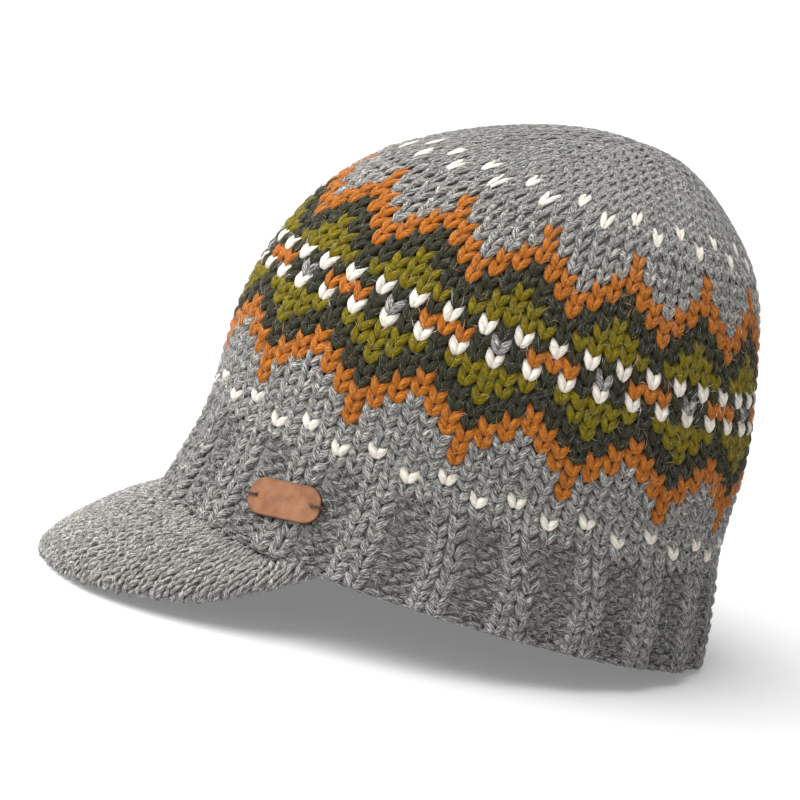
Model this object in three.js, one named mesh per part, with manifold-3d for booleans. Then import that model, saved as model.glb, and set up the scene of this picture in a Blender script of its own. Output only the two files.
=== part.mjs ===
// Brimmed beanie: a hand-knitted cap with a ribbed band, a domed crown, a short thick brim at the
// front and a small leather label held on by two thread stitches.
// Millimetres, +Z up, the wearer looks along -Y and the wearer's left side is +X.
// The cap stands by itself on the edge of its brim and the back of its rim.

import * as THREE from "three";
import { mergeVertices } from "three/addons/utils/BufferGeometryUtils.js";
import Module from "manifold-3d";

const wasm = await Module();
wasm.setup();

// Driving dimensions
const OVAL = { halfLength: 102, halfWidth: 85 };
const KNIT_THICKNESS = 5;
const SEAM_GAP = 0.3;
const BAND_HEIGHT = 39.5;
const SIDE_RISE = 2.5;

// The cap's side: its height above the rim, the size of its oval section, and how far back that lies
const PROFILE = [
  { height: 0, scale: 1.078, back: 2.2 },
  { height: 15, scale: 1.052, back: 2.8 },
  { height: 30, scale: 1.022, back: 2.2 },
  { height: 45, scale: 1.006, back: 0.6 },
  { height: 60, scale: 1.004, back: -0.6 },
  { height: 75, scale: 1.002, back: -1.2 },
  { height: 90, scale: 0.98, back: -1.5 },
  { height: 105, scale: 0.941, back: -1.6 },
  { height: 121, scale: 0.882, back: -0.4 },
  { height: 135, scale: 0.812, back: 2 },
  { height: 145, scale: 0.734, back: 4.4 },
  { height: 153, scale: 0.645, back: 7 },
  { height: 161, scale: 0.533, back: 9.8 },
  { height: 168, scale: 0.412, back: 13 },
  { height: 174, scale: 0.275, back: 16.5 },
  { height: 177.5, scale: 0.14, back: 19.5 },
  { height: 178.6, scale: 0, back: 20.5 },
];

// Ribs of the band: flattened over the brim, and fading where the crown begins
const RIB = { count: 21, depth: 1.8, frontShare: 0.3, frontTurn: 38, sideTurn: 62, fade: 7 };
const BAND_COLUMNS = RIB.count * 6;

// The band's wall, from its outer face over its top, down its inner face and round the rim
const BAND_TOP = BAND_HEIGHT - SEAM_GAP / 2;
const RIM_ROUND = 2.4;
const BAND_SECTION = [
  { along: RIM_ROUND, depth: 0 },
  { along: 12, depth: 0 },
  { along: 22, depth: 0 },
  { along: 32.5, depth: 0 },
  { along: BAND_TOP, depth: 0 },
  { along: BAND_TOP, depth: 1 },
  { along: 20, depth: 1 },
  { along: RIM_ROUND, depth: 1 },
  { along: 0.7, depth: 0.82 },
  { along: 0, depth: 0.5 },
  { along: 0.7, depth: 0.18 },
];

// The crown's wall, in rings up its outer face and inside it
const CROWN = { columns: 72, outerRings: 15, innerRings: 10, tipMargin: 9, innerTipMargin: 16 };
const DECREASES = { lines: 7, depth: 0.8, from: 160, to: 200, sharpness: 4 };

// The brim: its outline in plan, its slope and its section
const BRIM = {
  halfWidth: 65,
  reach: 84,
  centre: -60,
  roundness: 2.3,
  thickness: 8.4,
  rootTurn: 42,
  rootHeight: -2.7,
  frontCurl: 1.6,
  sideCurl: 1.0,
  twist: 0.07,
  edgeRound: 10,
  sections: 36,
};
const BRIM_EDGE = [
  { turn: 0, height: -34.5 },
  { turn: 17, height: -34.5 },
  { turn: 38, height: -31.5 },
  { turn: 60, height: -25 },
  { turn: 75, height: -14 },
  { turn: 83, height: -4 },
  { turn: 90, height: 7 },
];
const BRIM_STEPS = [0, 0.2, 0.4, 0.6, 0.78, 0.9, 0.97];

// The leather label and its two thread stitches, one over each end
const LABEL = {
  length: 28.5,
  height: 14,
  thickness: 1.6,
  corner: 6,
  turn: 35.3,
  along: 20.5,
  tilt: 12,
  columns: 16,
};
const THREAD = { diameter: 1.1, sides: 6, hole: 3.6, overrun: 1.2, steps: 8 };

// How the cap rests: it leans back, and its knitting is flattened this much where it touches down
const REST = { lean: 8.2, flattening: 1.4 };

const FINISH = {
  knit: { color: 0x8d8d8b, roughness: 0.95, metalness: 0 },
  pattern: { color: 0x6d6a3c, roughness: 0.95, metalness: 0 },
  leather: { color: 0xc4865e, roughness: 0.6, metalness: 0 },
  thread: { color: 0x3a2018, roughness: 0.8, metalness: 0 },
};

const { clamp, degToRad, smoothstep } = THREE.MathUtils;

// Reads one column of a table at a value of another, on a smooth curve through its rows
function readTable(rows, input, output, value) {
  const last = rows.length - 1;
  const x = clamp(value, rows[0][input], rows[last][input]);
  let i = 0;
  while (i < last - 1 && rows[i + 1][input] < x) i += 1;
  const slope = (k) => {
    const before = rows[Math.max(k - 1, 0)];
    const after = rows[Math.min(k + 1, last)];
    return (after[output] - before[output]) / (after[input] - before[input]);
  };
  const span = rows[i + 1][input] - rows[i][input];
  const t = (x - rows[i][input]) / span;
  const rise = t * t * (3 - 2 * t);
  const start = t * (1 - t) * (1 - t) * span * slope(i);
  const end = t * t * (t - 1) * span * slope(i + 1);
  return rows[i][output] * (1 - rise) + rows[i + 1][output] * rise + start + end;
}

// The profile again, with the distance along the knitting from the rim to each row
const MEAN_RADIUS = (OVAL.halfLength + OVAL.halfWidth) / 2;
let distance = 0;
const SIDE = PROFILE.map((row, i) => {
  const before = PROFILE[Math.max(i - 1, 0)];
  distance += Math.hypot(row.height - before.height, (row.scale - before.scale) * MEAN_RADIUS);
  return { ...row, along: distance };
});
const TIP = SIDE[SIDE.length - 1];

// A point on the cap's outer form; turn is the angle from the front towards the wearer's left.
// The rim arches up a little at both sides.
function formPoint(along, turn) {
  const scale = readTable(SIDE, "along", "scale", along);
  const back = readTable(SIDE, "along", "back", along);
  const rise = SIDE_RISE * Math.sin(turn) ** 2 * Math.max(0, 1 - along / BAND_HEIGHT) ** 2;
  return new THREE.Vector3(
    OVAL.halfWidth * scale * Math.sin(turn),
    back - OVAL.halfLength * scale * Math.cos(turn),
    readTable(SIDE, "along", "height", along) + rise,
  );
}

// The outward direction of that form
function formNormal(along, turn) {
  const step = 0.01;
  const round = formPoint(along, turn + step).sub(formPoint(along, turn - step));
  const up = formPoint(Math.min(along + 0.5, TIP.along), turn);
  up.sub(formPoint(Math.max(along - 0.5, 0), turn));
  return round.cross(up).normalize();
}

// A point a given distance outside that form, or inside it where the distance is negative
function skinPoint(along, turn, outward) {
  return formPoint(along, turn).addScaledVector(formNormal(along, turn), outward);
}

// The turn that lies a given share of the way round the oval, measured along the knitting
const OVAL_STEPS = 720;
const OVAL_TABLE = [{ share: 0, turn: 0 }];
for (let i = 1; i <= OVAL_STEPS; i += 1) {
  const turn = (2 * Math.PI * i) / OVAL_STEPS;
  const middle = turn - Math.PI / OVAL_STEPS;
  const speed = Math.hypot(OVAL.halfWidth * Math.cos(middle), OVAL.halfLength * Math.sin(middle));
  OVAL_TABLE.push({ share: OVAL_TABLE[i - 1].share + speed, turn });
}
const OVAL_ROUND = OVAL_TABLE[OVAL_STEPS].share;
function turnAt(share) {
  return readTable(OVAL_TABLE, "share", "turn", share * OVAL_ROUND);
}

// How far the ribs stand out at a place on the band
function ribHeight(along, share) {
  const turn = turnAt(share);
  const fromFront = Math.min(turn, 2 * Math.PI - turn);
  const side = smoothstep(fromFront, degToRad(RIB.frontTurn), degToRad(RIB.sideTurn));
  const strength = RIB.frontShare + (1 - RIB.frontShare) * side;
  const fade = 1 - smoothstep(along, BAND_HEIGHT - RIB.fade, BAND_HEIGHT);
  return (RIB.depth / 2) * strength * fade * Math.cos(2 * Math.PI * RIB.count * share);
}

// How far the crown's decrease lines sink in
function decreaseFold(along, share) {
  const reach = smoothstep(along, DECREASES.from, DECREASES.to);
  const wave = Math.max(0, Math.cos(2 * Math.PI * DECREASES.lines * share));
  return -DECREASES.depth * reach * wave ** DECREASES.sharpness;
}

// Six times the volume that a list of triangles encloses, positive if they face outwards
function signedVolume(points, triangles) {
  let volume = 0;
  for (const [a, b, c] of triangles) {
    volume += points[a].dot(points[b].clone().cross(points[c]));
  }
  return volume;
}

// A closed skin over rows of points that each form a loop. The rows themselves close into a ring,
// or else each end is capped from a middle point, which can be given.
function skinGeometry(rows, { ring = false, firstTip = null, lastTip = null } = {}) {
  const width = rows[0].length;
  const points = rows.flat();
  const triangles = [];
  const rowCount = rows.length;
  for (let i = 0; i < (ring ? rowCount : rowCount - 1); i += 1) {
    for (let j = 0; j < width; j += 1) {
      const next = (j + 1) % width;
      const above = ((i + 1) % rowCount) * width;
      triangles.push([i * width + j, i * width + next, above + next]);
      triangles.push([i * width + j, above + next, above + j]);
    }
  }
  const cap = (row, tip, flip) => {
    const centre = tip ?? row.reduce((sum, p) => sum.add(p), new THREE.Vector3()).divideScalar(width);
    const start = rows.indexOf(row) * width;
    for (let j = 0; j < width; j += 1) {
      const next = (j + 1) % width;
      const triangle = [points.length, start + next, start + j];
      triangles.push(flip ? triangle.reverse() : triangle);
    }
    points.push(centre);
  };
  if (!ring) {
    cap(rows[0], firstTip, false);
    cap(rows[rowCount - 1], lastTip, true);
  }
  if (signedVolume(points, triangles) < 0) triangles.forEach((triangle) => triangle.reverse());
  const geometry = new THREE.BufferGeometry();
  const positions = new Float32Array(points.flatMap((p) => p.toArray()));
  geometry.setAttribute("position", new THREE.BufferAttribute(positions, 3));
  geometry.setIndex(triangles.flat());
  return geometry;
}

// Joining and cutting
function toSolid(source) {
  const geometry = source.clone();
  geometry.deleteAttribute("normal");
  geometry.deleteAttribute("uv");
  const merged = mergeVertices(geometry);
  const vertProperties = new Float32Array(merged.attributes.position.array);
  const triVerts = new Uint32Array(merged.index.array);
  return new wasm.Manifold(new wasm.Mesh({ numProp: 3, vertProperties, triVerts }));
}

function toGeometry(solid) {
  const mesh = solid.getMesh();
  const geometry = new THREE.BufferGeometry();
  geometry.setAttribute("position", new THREE.BufferAttribute(mesh.vertProperties.slice(), 3));
  geometry.setIndex([...mesh.triVerts]);
  return geometry;
}

// Turns a form from its own upright position into the one in which the cap rests
function leanBack(geometry) {
  return geometry.rotateX(-degToRad(REST.lean));
}

// Rings of points round the cap, one for each row of a wall's section
function columnShares(columns) {
  return Array.from({ length: columns }, (_, column) => column / columns);
}

// The ribbed band's wall, grown on every side by a given amount
function bandWall(growth) {
  const shares = columnShares(BAND_COLUMNS);
  const rows = BAND_SECTION.map(({ along, depth }) => {
    const below = growth * (1 - Math.min(along / RIM_ROUND, 1));
    return shares.map((share) => {
      const ribs = ribHeight(along, share) * (1 - depth);
      const outward = ribs - KNIT_THICKNESS * depth + growth * (1 - 2 * depth);
      const point = skinPoint(along, turnAt(share), outward);
      point.z -= below;
      return point;
    });
  });
  return skinGeometry(rows, { ring: true });
}

// Domed crown, open below
function makeCrown() {
  const shares = columnShares(CROWN.columns);
  const start = BAND_HEIGHT + SEAM_GAP / 2;
  const ring = (along, outward, relief) =>
    shares.map((share) => skinPoint(along, turnAt(share), outward + relief(along, share)));
  const levels = (count, margin) =>
    Array.from({ length: count }, (_, i) => start + ((TIP.along - margin - start) * i) / (count - 1));
  const outer = levels(CROWN.outerRings, CROWN.tipMargin).map((along) => ring(along, 0, decreaseFold));
  const inner = levels(CROWN.innerRings, CROWN.innerTipMargin).map((along) =>
    ring(along, -KNIT_THICKNESS, () => 0),
  );
  const outerTip = new THREE.Vector3(0, TIP.back, TIP.height - DECREASES.depth);
  const innerTip = new THREE.Vector3(0, TIP.back, TIP.height - KNIT_THICKNESS - DECREASES.depth);
  return skinGeometry([...outer.reverse(), ...inner], { firstTip: outerTip, lastTip: innerTip });
}

// The brim's section at one turn round its outline: over the top, round the edge and back below
function brimSection(turn) {
  const root = skinPoint(0, (turn / (Math.PI / 2)) * degToRad(BRIM.rootTurn), -KNIT_THICKNESS);
  root.z = BRIM.rootHeight;
  const rounding = 2 / BRIM.roundness;
  const across = Math.sign(turn) * Math.abs(Math.sin(turn)) ** rounding;
  const forward = Math.abs(Math.cos(turn)) ** rounding;
  const edge = new THREE.Vector3(BRIM.halfWidth * across, BRIM.centre - BRIM.reach * forward, 0);
  edge.z = readTable(BRIM_EDGE, "turn", "height", THREE.MathUtils.radToDeg(Math.abs(turn)));
  edge.z += BRIM.twist * edge.x;
  const curl = BRIM.sideCurl + (BRIM.frontCurl - BRIM.sideCurl) * Math.cos(turn) ** 2;
  const run = Math.hypot(edge.x - root.x, edge.y - root.y);
  const drop = edge.z - root.z;
  const ahead = new THREE.Vector3((edge.x - root.x) / run, (edge.y - root.y) / run, 0);
  const place = (step, side) => {
    const slope = (curl * drop * step ** (curl - 1)) / run;
    const half = (BRIM.thickness / 2) * Math.sqrt(1 - step ** BRIM.edgeRound) * side;
    const point = root.clone().addScaledVector(ahead, run * step);
    point.z += drop * step ** curl;
    point.addScaledVector(ahead, (-slope * half) / Math.hypot(1, slope));
    point.z += half / Math.hypot(1, slope);
    return point;
  };
  const top = BRIM_STEPS.map((step) => place(step, 1));
  const bottom = BRIM_STEPS.map((step) => place(step, -1)).reverse();
  return [...top, place(1, 0), ...bottom];
}

function makeBrim() {
  const rows = Array.from({ length: BRIM.sections + 1 }, (_, i) =>
    brimSection(((i / BRIM.sections) * 2 - 1) * degToRad(88)),
  );
  return skinGeometry(rows);
}

// A place on the label: right and up from its middle, and out from the knitting beneath it
function labelPoint(right, up, outward) {
  const tilt = degToRad(LABEL.tilt);
  const along = LABEL.along + up * Math.cos(tilt) + right * Math.sin(tilt);
  const sideways = right * Math.cos(tilt) - up * Math.sin(tilt);
  const middle = degToRad(LABEL.turn);
  const scale = readTable(SIDE, "along", "scale", LABEL.along);
  const speed = scale * Math.hypot(OVAL.halfWidth * Math.cos(middle), OVAL.halfLength * Math.sin(middle));
  const seat = (RIB.depth / 2) * RIB.frontShare + SEAM_GAP;
  return skinPoint(along, middle + sideways / speed, seat + outward);
}

// Leather label, a bent plate with round corners
function makeLabel() {
  const half = LABEL.length / 2;
  const rows = Array.from({ length: LABEL.columns + 1 }, (_, i) => {
    const right = -half * Math.cos((Math.PI * i) / LABEL.columns);
    const past = Math.max(0, Math.abs(right) - (half - LABEL.corner));
    const up = LABEL.height / 2 - LABEL.corner + Math.sqrt(Math.max(0, LABEL.corner ** 2 - past ** 2));
    return [
      labelPoint(right, up, 0),
      labelPoint(right, up, LABEL.thickness * 0.75),
      labelPoint(right, up * 0.95, LABEL.thickness),
      labelPoint(right, 0, LABEL.thickness),
      labelPoint(right, -up * 0.95, LABEL.thickness),
      labelPoint(right, -up, LABEL.thickness * 0.75),
      labelPoint(right, -up, 0),
      labelPoint(right, 0, 0),
    ];
  });
  return skinGeometry(rows);
}

// One thread stitch: from its hole in the label, over the label's end and down to the knitting
function makeThread(side) {
  const half = LABEL.length / 2;
  const radius = THREAD.diameter / 2;
  const over = LABEL.thickness + SEAM_GAP + radius;
  const end = half + SEAM_GAP + radius;
  const path = new THREE.CatmullRomCurve3([
    labelPoint(side * (half - THREAD.hole), 0, over),
    labelPoint(side * (half - THREAD.hole / 2), 0, over + 0.2),
    labelPoint(side * (half - 0.2), 0, over + 0.1),
    labelPoint(side * (end + 0.3), 0, over - 0.4),
    labelPoint(side * (end + THREAD.overrun * 0.7), 0, LABEL.thickness / 2),
    labelPoint(side * (end + THREAD.overrun), 0, radius),
  ]);
  const frames = path.computeFrenetFrames(THREAD.steps, false);
  const rows = frames.normals.map((normal, i) => {
    const middle = path.getPointAt(i / THREAD.steps);
    return Array.from({ length: THREAD.sides }, (_, k) => {
      const angle = (2 * Math.PI * k) / THREAD.sides;
      return middle
        .clone()
        .addScaledVector(normal, radius * Math.cos(angle))
        .addScaledVector(frames.binormals[i], radius * Math.sin(angle));
    });
  });
  return skinGeometry(rows);
}

// Assembly
const band = toSolid(leanBack(bandWall(0)));
const brim = toSolid(leanBack(makeBrim())).subtract(toSolid(leanBack(bandWall(SEAM_GAP))));

// The surface that the cap rests on, as a slab that flattens what would reach below it
const lowest = Math.min(band.boundingBox().min[2], brim.boundingBox().min[2]);
const SLAB = { side: 600, height: 100 };
const slab = new THREE.BoxGeometry(SLAB.side, SLAB.side, SLAB.height);
slab.translate(0, 0, lowest + REST.flattening - SLAB.height / 2);
const surface = toSolid(slab);

const pieces = [
  { name: "crown", geometry: leanBack(makeCrown()), finish: FINISH.pattern },
  { name: "rib_band", geometry: toGeometry(band.subtract(surface)), finish: FINISH.knit },
  { name: "brim", geometry: toGeometry(brim.subtract(surface)), finish: FINISH.knit },
  { name: "label", geometry: leanBack(makeLabel()), finish: FINISH.leather },
  { name: "label_stitch_front", geometry: leanBack(makeThread(-1)), finish: FINISH.thread },
  { name: "label_stitch_back", geometry: leanBack(makeThread(1)), finish: FINISH.thread },
];

const beanie = new THREE.Group();
for (const { name, geometry, finish } of pieces) {
  geometry.computeVertexNormals();
  const mesh = new THREE.Mesh(geometry, new THREE.MeshStandardMaterial(finish));
  mesh.name = name;
  beanie.add(mesh);
}

// The origin is the middle of the cap's footprint, on the surface it rests on
const extent = new THREE.Box3().setFromObject(beanie);
const centre = extent.getCenter(new THREE.Vector3());
beanie.children.forEach((mesh) => mesh.position.set(-centre.x, -centre.y, -extent.min.z));

export default beanie;
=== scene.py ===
# Looks of the brimmed beanie: every stitch of its chunky wool is modelled on the cap's own form,
# with the yarn's marl, twist and fuzz, a leather label, and two thread stitches that hold it.

import math

import bpy
import numpy as np
from mathutils import Matrix, Vector


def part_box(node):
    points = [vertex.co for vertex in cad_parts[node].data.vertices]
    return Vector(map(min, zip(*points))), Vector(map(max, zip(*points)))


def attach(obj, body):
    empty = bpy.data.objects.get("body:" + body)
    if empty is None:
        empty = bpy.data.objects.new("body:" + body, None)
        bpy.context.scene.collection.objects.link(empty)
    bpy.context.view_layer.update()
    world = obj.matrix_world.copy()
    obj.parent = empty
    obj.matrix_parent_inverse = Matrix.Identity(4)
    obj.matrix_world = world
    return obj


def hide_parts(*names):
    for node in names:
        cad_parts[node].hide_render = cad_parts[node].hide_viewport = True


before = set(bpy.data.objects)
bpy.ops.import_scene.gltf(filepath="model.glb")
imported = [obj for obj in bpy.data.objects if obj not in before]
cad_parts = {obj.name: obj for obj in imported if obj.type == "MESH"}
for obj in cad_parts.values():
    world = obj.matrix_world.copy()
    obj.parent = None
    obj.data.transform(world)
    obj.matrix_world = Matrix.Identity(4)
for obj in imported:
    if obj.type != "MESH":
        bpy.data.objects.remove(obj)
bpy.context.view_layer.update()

MM = 0.001
TAU = 2 * math.pi
rng = np.random.default_rng(84)


# Tables and small helpers

class Table:
    """Rows of numbers with named columns, read along a smooth curve through the rows. The first column
    is the one that is looked up, unless another is made the key."""

    def __init__(self, columns, rows):
        self.columns = dict(zip(columns.split(), np.array(rows, float).T))
        self.key = columns.split()[0]

    def __getitem__(self, name):
        return self.columns[name]

    def read(self, wanted, value):
        x, y = self.columns[self.key], self.columns[wanted]
        last = len(x) - 1
        value = np.clip(value, x[0], x[last])
        i = np.clip(np.searchsorted(x, value, side="left") - 1, 0, last - 1)
        before = np.maximum(np.arange(last + 1) - 1, 0)
        after = np.minimum(np.arange(last + 1) + 1, last)
        slope = (y[after] - y[before]) / (x[after] - x[before])
        span = x[i + 1] - x[i]
        t = (value - x[i]) / span
        rise = t * t * (3 - 2 * t)
        start = t * (1 - t) ** 2 * span * slope[i]
        end = t * t * (t - 1) * span * slope[i + 1]
        return y[i] * (1 - rise) + y[i + 1] * rise + start + end


def smoothstep(x, low, high):
    t = np.clip((x - low) / (high - low), 0, 1)
    return t * t * (3 - 2 * t)


def unit(v):
    return v / np.maximum(np.linalg.norm(v, axis=-1, keepdims=True), 1e-12)


def run_along(points):
    """How far along its line every point lies."""
    steps = np.linalg.norm(np.diff(points, axis=-2), axis=-1)
    return np.concatenate([np.zeros_like(steps[..., :1]), np.cumsum(steps, axis=-1)], axis=-1)


def read_line(at, along, line):
    """The points, or other rows of values, at these distances along a line."""
    return np.stack([np.interp(at, along, values) for values in line.T], -1)


def toward(azimuth, elevation):
    """A direction from the cap; azimuth turns from its front towards the wearer's left."""
    level = math.cos(elevation)
    return np.array([math.sin(azimuth) * level, -math.cos(azimuth) * level, math.sin(elevation)])


# The cap's form, in millimetres, in its own upright position: the same sizes as the CAD model's

HALF_LENGTH, HALF_WIDTH = 102, 85
WALL = 5
SEAM_GAP = 0.3
BAND_HEIGHT = 39.5
SIDE_RISE = 2.5
LEAN = math.radians(8.2)
SIDE = Table("height scale back", [
    (0, 1.078, 2.2), (15, 1.052, 2.8), (30, 1.022, 2.2), (45, 1.006, 0.6), (60, 1.004, -0.6),
    (75, 1.002, -1.2), (90, 0.98, -1.5), (105, 0.941, -1.6), (121, 0.882, -0.4), (135, 0.812, 2),
    (145, 0.734, 4.4), (153, 0.645, 7), (161, 0.533, 9.8), (168, 0.412, 13), (174, 0.275, 16.5),
    (177.5, 0.14, 19.5), (178.6, 0, 20.5),
])
MEAN_RADIUS = (HALF_LENGTH + HALF_WIDTH) / 2
SIDE.columns["along"] = run_along(np.stack([SIDE["height"], SIDE["scale"] * MEAN_RADIUS], -1))
SIDE.key = "along"
TIP_ALONG = SIDE["along"][-1]

RIB_COUNT, RIB_DEPTH, RIB_FRONT_SHARE, RIB_FADE = 21, 1.8, 0.3, 7
RIB_FRONT_TURN, RIB_SIDE_TURN = math.radians(38), math.radians(62)
DECREASE_LINES, DECREASE_DEPTH, DECREASE_SHARPNESS = 7, 0.8, 4
DECREASE_FROM, DECREASE_TO = 160, 200
RIM_ROUND = 2.4
# The small steps, in turn and along, that give the form's outward direction
TURN_STEP, ALONG_STEP = 0.01, 0.5


def form_point(along, turn):
    scale = SIDE.read("scale", along)
    rise = SIDE_RISE * np.sin(turn) ** 2 * np.clip(1 - along / BAND_HEIGHT, 0, None) ** 2
    return np.stack([
        HALF_WIDTH * scale * np.sin(turn),
        SIDE.read("back", along) - HALF_LENGTH * scale * np.cos(turn),
        SIDE.read("height", along) + rise,
    ], axis=-1)


def skin_point(along, turn, outward):
    """A point on the form, moved outwards by a distance."""
    round_it = form_point(along, turn + TURN_STEP) - form_point(along, turn - TURN_STEP)
    above = form_point(np.minimum(along + ALONG_STEP, TIP_ALONG), turn)
    up_it = above - form_point(np.maximum(along - ALONG_STEP, 0), turn)
    return form_point(along, turn) + unit(np.cross(round_it, up_it)) * np.asarray(outward)[..., None]


OVAL_STEPS = 1440
TURNS = np.linspace(0, TAU, OVAL_STEPS + 1)
middles = (TURNS[1:] + TURNS[:-1]) / 2
speeds = np.hypot(HALF_WIDTH * np.cos(middles), HALF_LENGTH * np.sin(middles))
SHARES = np.concatenate([[0], np.cumsum(speeds)]) / speeds.sum()
OVAL_ROUND = speeds.sum() * (TURNS[1] - TURNS[0])


def turn_at(share):
    return np.interp(share % 1, SHARES, TURNS) + TAU * np.floor(share)


def relief(along, share):
    """How far the ribs stand out and the decrease lines sink in."""
    turn = turn_at(share % 1)
    from_front = np.minimum(turn, TAU - turn)
    side = smoothstep(from_front, RIB_FRONT_TURN, RIB_SIDE_TURN)
    strength = RIB_FRONT_SHARE + (1 - RIB_FRONT_SHARE) * side
    fade = 1 - smoothstep(along, BAND_HEIGHT - RIB_FADE, BAND_HEIGHT)
    ribs = RIB_DEPTH / 2 * strength * fade * np.cos(TAU * RIB_COUNT * share)
    wave = np.clip(np.cos(TAU * DECREASE_LINES * share), 0, None) ** DECREASE_SHARPNESS
    return ribs - DECREASE_DEPTH * smoothstep(along, DECREASE_FROM, DECREASE_TO) * wave


# From the upright position to the frame, in metres: the cap leans back and stands on the floor

def lean_back(points):
    x, y, z = np.moveaxis(np.asarray(points, float), -1, 0)
    return np.stack([x, y * math.cos(LEAN) + z * math.sin(LEAN), z * math.cos(LEAN) - y * math.sin(LEAN)], -1)


# The CAD crown's last ring lies this far from its tip. Its form is tried at so many rows and columns.
CROWN_TIP_MARGIN, TRIED_ROWS, TRIED_COLUMNS = 9, 60, 145


def find_shift():
    """Where the leaning form lies in the frame, from the crown's box."""
    alongs = np.linspace(BAND_HEIGHT, TIP_ALONG - CROWN_TIP_MARGIN, TRIED_ROWS)
    along, share = np.meshgrid(alongs, np.linspace(0, 1, TRIED_COLUMNS))
    crown = lean_back(skin_point(along, turn_at(share), relief(along, share))) * MM
    low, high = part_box("crown")
    middle = (crown[..., 1].min() + crown[..., 1].max()) / 2
    return np.array([0, (low.y + high.y) / 2 - middle, high.z - crown[..., 2].max()])


SHIFT = find_shift()
# Yarn that would reach below PRESSED_BELOW is pressed almost flat, and none goes below LOWEST
PRESSED_BELOW, PRESSED_SHARE, LOWEST = 0.25 * MM, 0.02, 0.1 * MM


def to_frame(points):
    placed = lean_back(points) * MM + SHIFT
    height = placed[..., 2]
    pressed = PRESSED_BELOW + PRESSED_SHARE * (height - PRESSED_BELOW)
    placed[..., 2] = np.maximum(np.where(height < PRESSED_BELOW, pressed, height), LOWEST)
    return placed


# A place function turns a column, a row and a distance outwards into points in the frame

def cap_place(share, along, outward):
    """A place on the cap's knitting: its share of the way round, its height along, and how far out."""
    return to_frame(skin_point(along, turn_at(share), outward + relief(along, share)))


def rim_place(share, angle, lift):
    """A place round the rim's edge, from its outer side (0) to below (a quarter turn) and inside."""
    outward = -WALL / 2 + (WALL / 2 + lift) * np.cos(angle)
    along = RIM_ROUND - (RIM_ROUND + lift) * np.sin(angle)
    ribs = relief(along, share) * np.cos(angle / 2)
    points = skin_point(np.maximum(along, 0), turn_at(share), outward + ribs)
    points[..., 2] += np.minimum(along, 0)
    return to_frame(points)


# The brim's form: rays from the crease out over the edge and back below

BRIM_HALF_WIDTH, BRIM_REACH, BRIM_CENTRE, BRIM_ROUNDNESS = 65, 84, -60, 2.3
BRIM_THICKNESS, BRIM_ROOT_TURN, BRIM_ROOT_HEIGHT = 8.4, math.radians(42), -2.7
BRIM_FRONT_CURL, BRIM_SIDE_CURL, BRIM_TWIST, BRIM_EDGE_ROUND = 1.6, 1.0, 0.07, 10
BRIM_EDGE = Table("turn height", [
    (0, -34.5), (17, -34.5), (38, -31.5), (60, -25), (75, -14), (83, -4), (90, 7),
])


def brim_sections(turns, path):
    """The brim's outline at each turn. path runs from -1, the root below, by 0, the edge, to 1, the
    root above."""
    turn, path = np.meshgrid(turns, path, indexing="ij")
    root = skin_point(np.zeros_like(turn), turn / (math.pi / 2) * BRIM_ROOT_TURN, np.full_like(turn, -WALL))
    root[..., 2] = BRIM_ROOT_HEIGHT
    rounding = 2 / BRIM_ROUNDNESS
    edge = np.stack([
        BRIM_HALF_WIDTH * np.sign(turn) * np.abs(np.sin(turn)) ** rounding,
        BRIM_CENTRE - BRIM_REACH * np.abs(np.cos(turn)) ** rounding,
        BRIM_EDGE.read("height", np.degrees(np.abs(turn))),
    ], -1)
    edge[..., 2] += BRIM_TWIST * edge[..., 0]
    curl = BRIM_SIDE_CURL + (BRIM_FRONT_CURL - BRIM_SIDE_CURL) * np.cos(turn) ** 2
    ahead = edge[..., :2] - root[..., :2]
    run = np.linalg.norm(ahead, axis=-1)
    ahead = ahead / run[..., None]
    drop = edge[..., 2] - root[..., 2]
    step = 1 - np.abs(path) ** 2
    half = BRIM_THICKNESS / 2 * np.sqrt(1 - step ** BRIM_EDGE_ROUND) * np.sign(path)
    slope = curl * drop * step ** (curl - 1) / run
    steep = np.hypot(1, slope)
    root[..., :2] += ahead * (run * step - slope * half / steep)[..., None]
    root[..., 2] += drop * step ** curl + half / steep
    return root


BRIM_COLUMNS, BRIM_ROW = 48, 4.1
BRIM_TURN_LIMIT = math.radians(88)
# The brim's surface as a grid: its lines to a stitch column, their steps and reach either way from the
# edge, and the turns and steps from which it is worked out
BRIM_GRID_LINES, BRIM_GRID_STEP, BRIM_GRID_REACH = 4, 0.5, 90
BRIM_TURNS, BRIM_STEPS = 361, 321
# The small steps, in columns and inwards, that give the surface's outward direction
COLUMN_STEP, INWARD_STEP = 0.3, 0.8


def make_brim_grid():
    """The brim's surface in even steps: columns round the edge, and distance from the edge."""
    turns = np.linspace(-BRIM_TURN_LIMIT, BRIM_TURN_LIMIT, BRIM_TURNS)
    path = np.linspace(-1, 1, BRIM_STEPS)
    at_edge = BRIM_STEPS // 2
    round_edge = run_along(brim_sections(turns, path)[:, at_edge])
    columns = np.linspace(0, round_edge[-1], BRIM_COLUMNS * BRIM_GRID_LINES + 1)
    points = brim_sections(np.interp(columns, round_edge, turns), path)
    distance = run_along(points)
    distance -= distance[:, [at_edge]]
    reach = np.arange(-BRIM_GRID_REACH, BRIM_GRID_REACH + BRIM_GRID_STEP, BRIM_GRID_STEP)
    grid = np.array([read_line(reach, far, line) for far, line in zip(distance, points)])
    return grid, distance[:, 0], distance[:, -1]


BRIM_GRID, BRIM_BELOW, BRIM_ABOVE = make_brim_grid()


def brim_root(column, distances):
    """How far from the edge the brim meets the cap, from the distances above or below."""
    return np.interp(column * BRIM_GRID_LINES, np.arange(len(distances)), distances)


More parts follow.
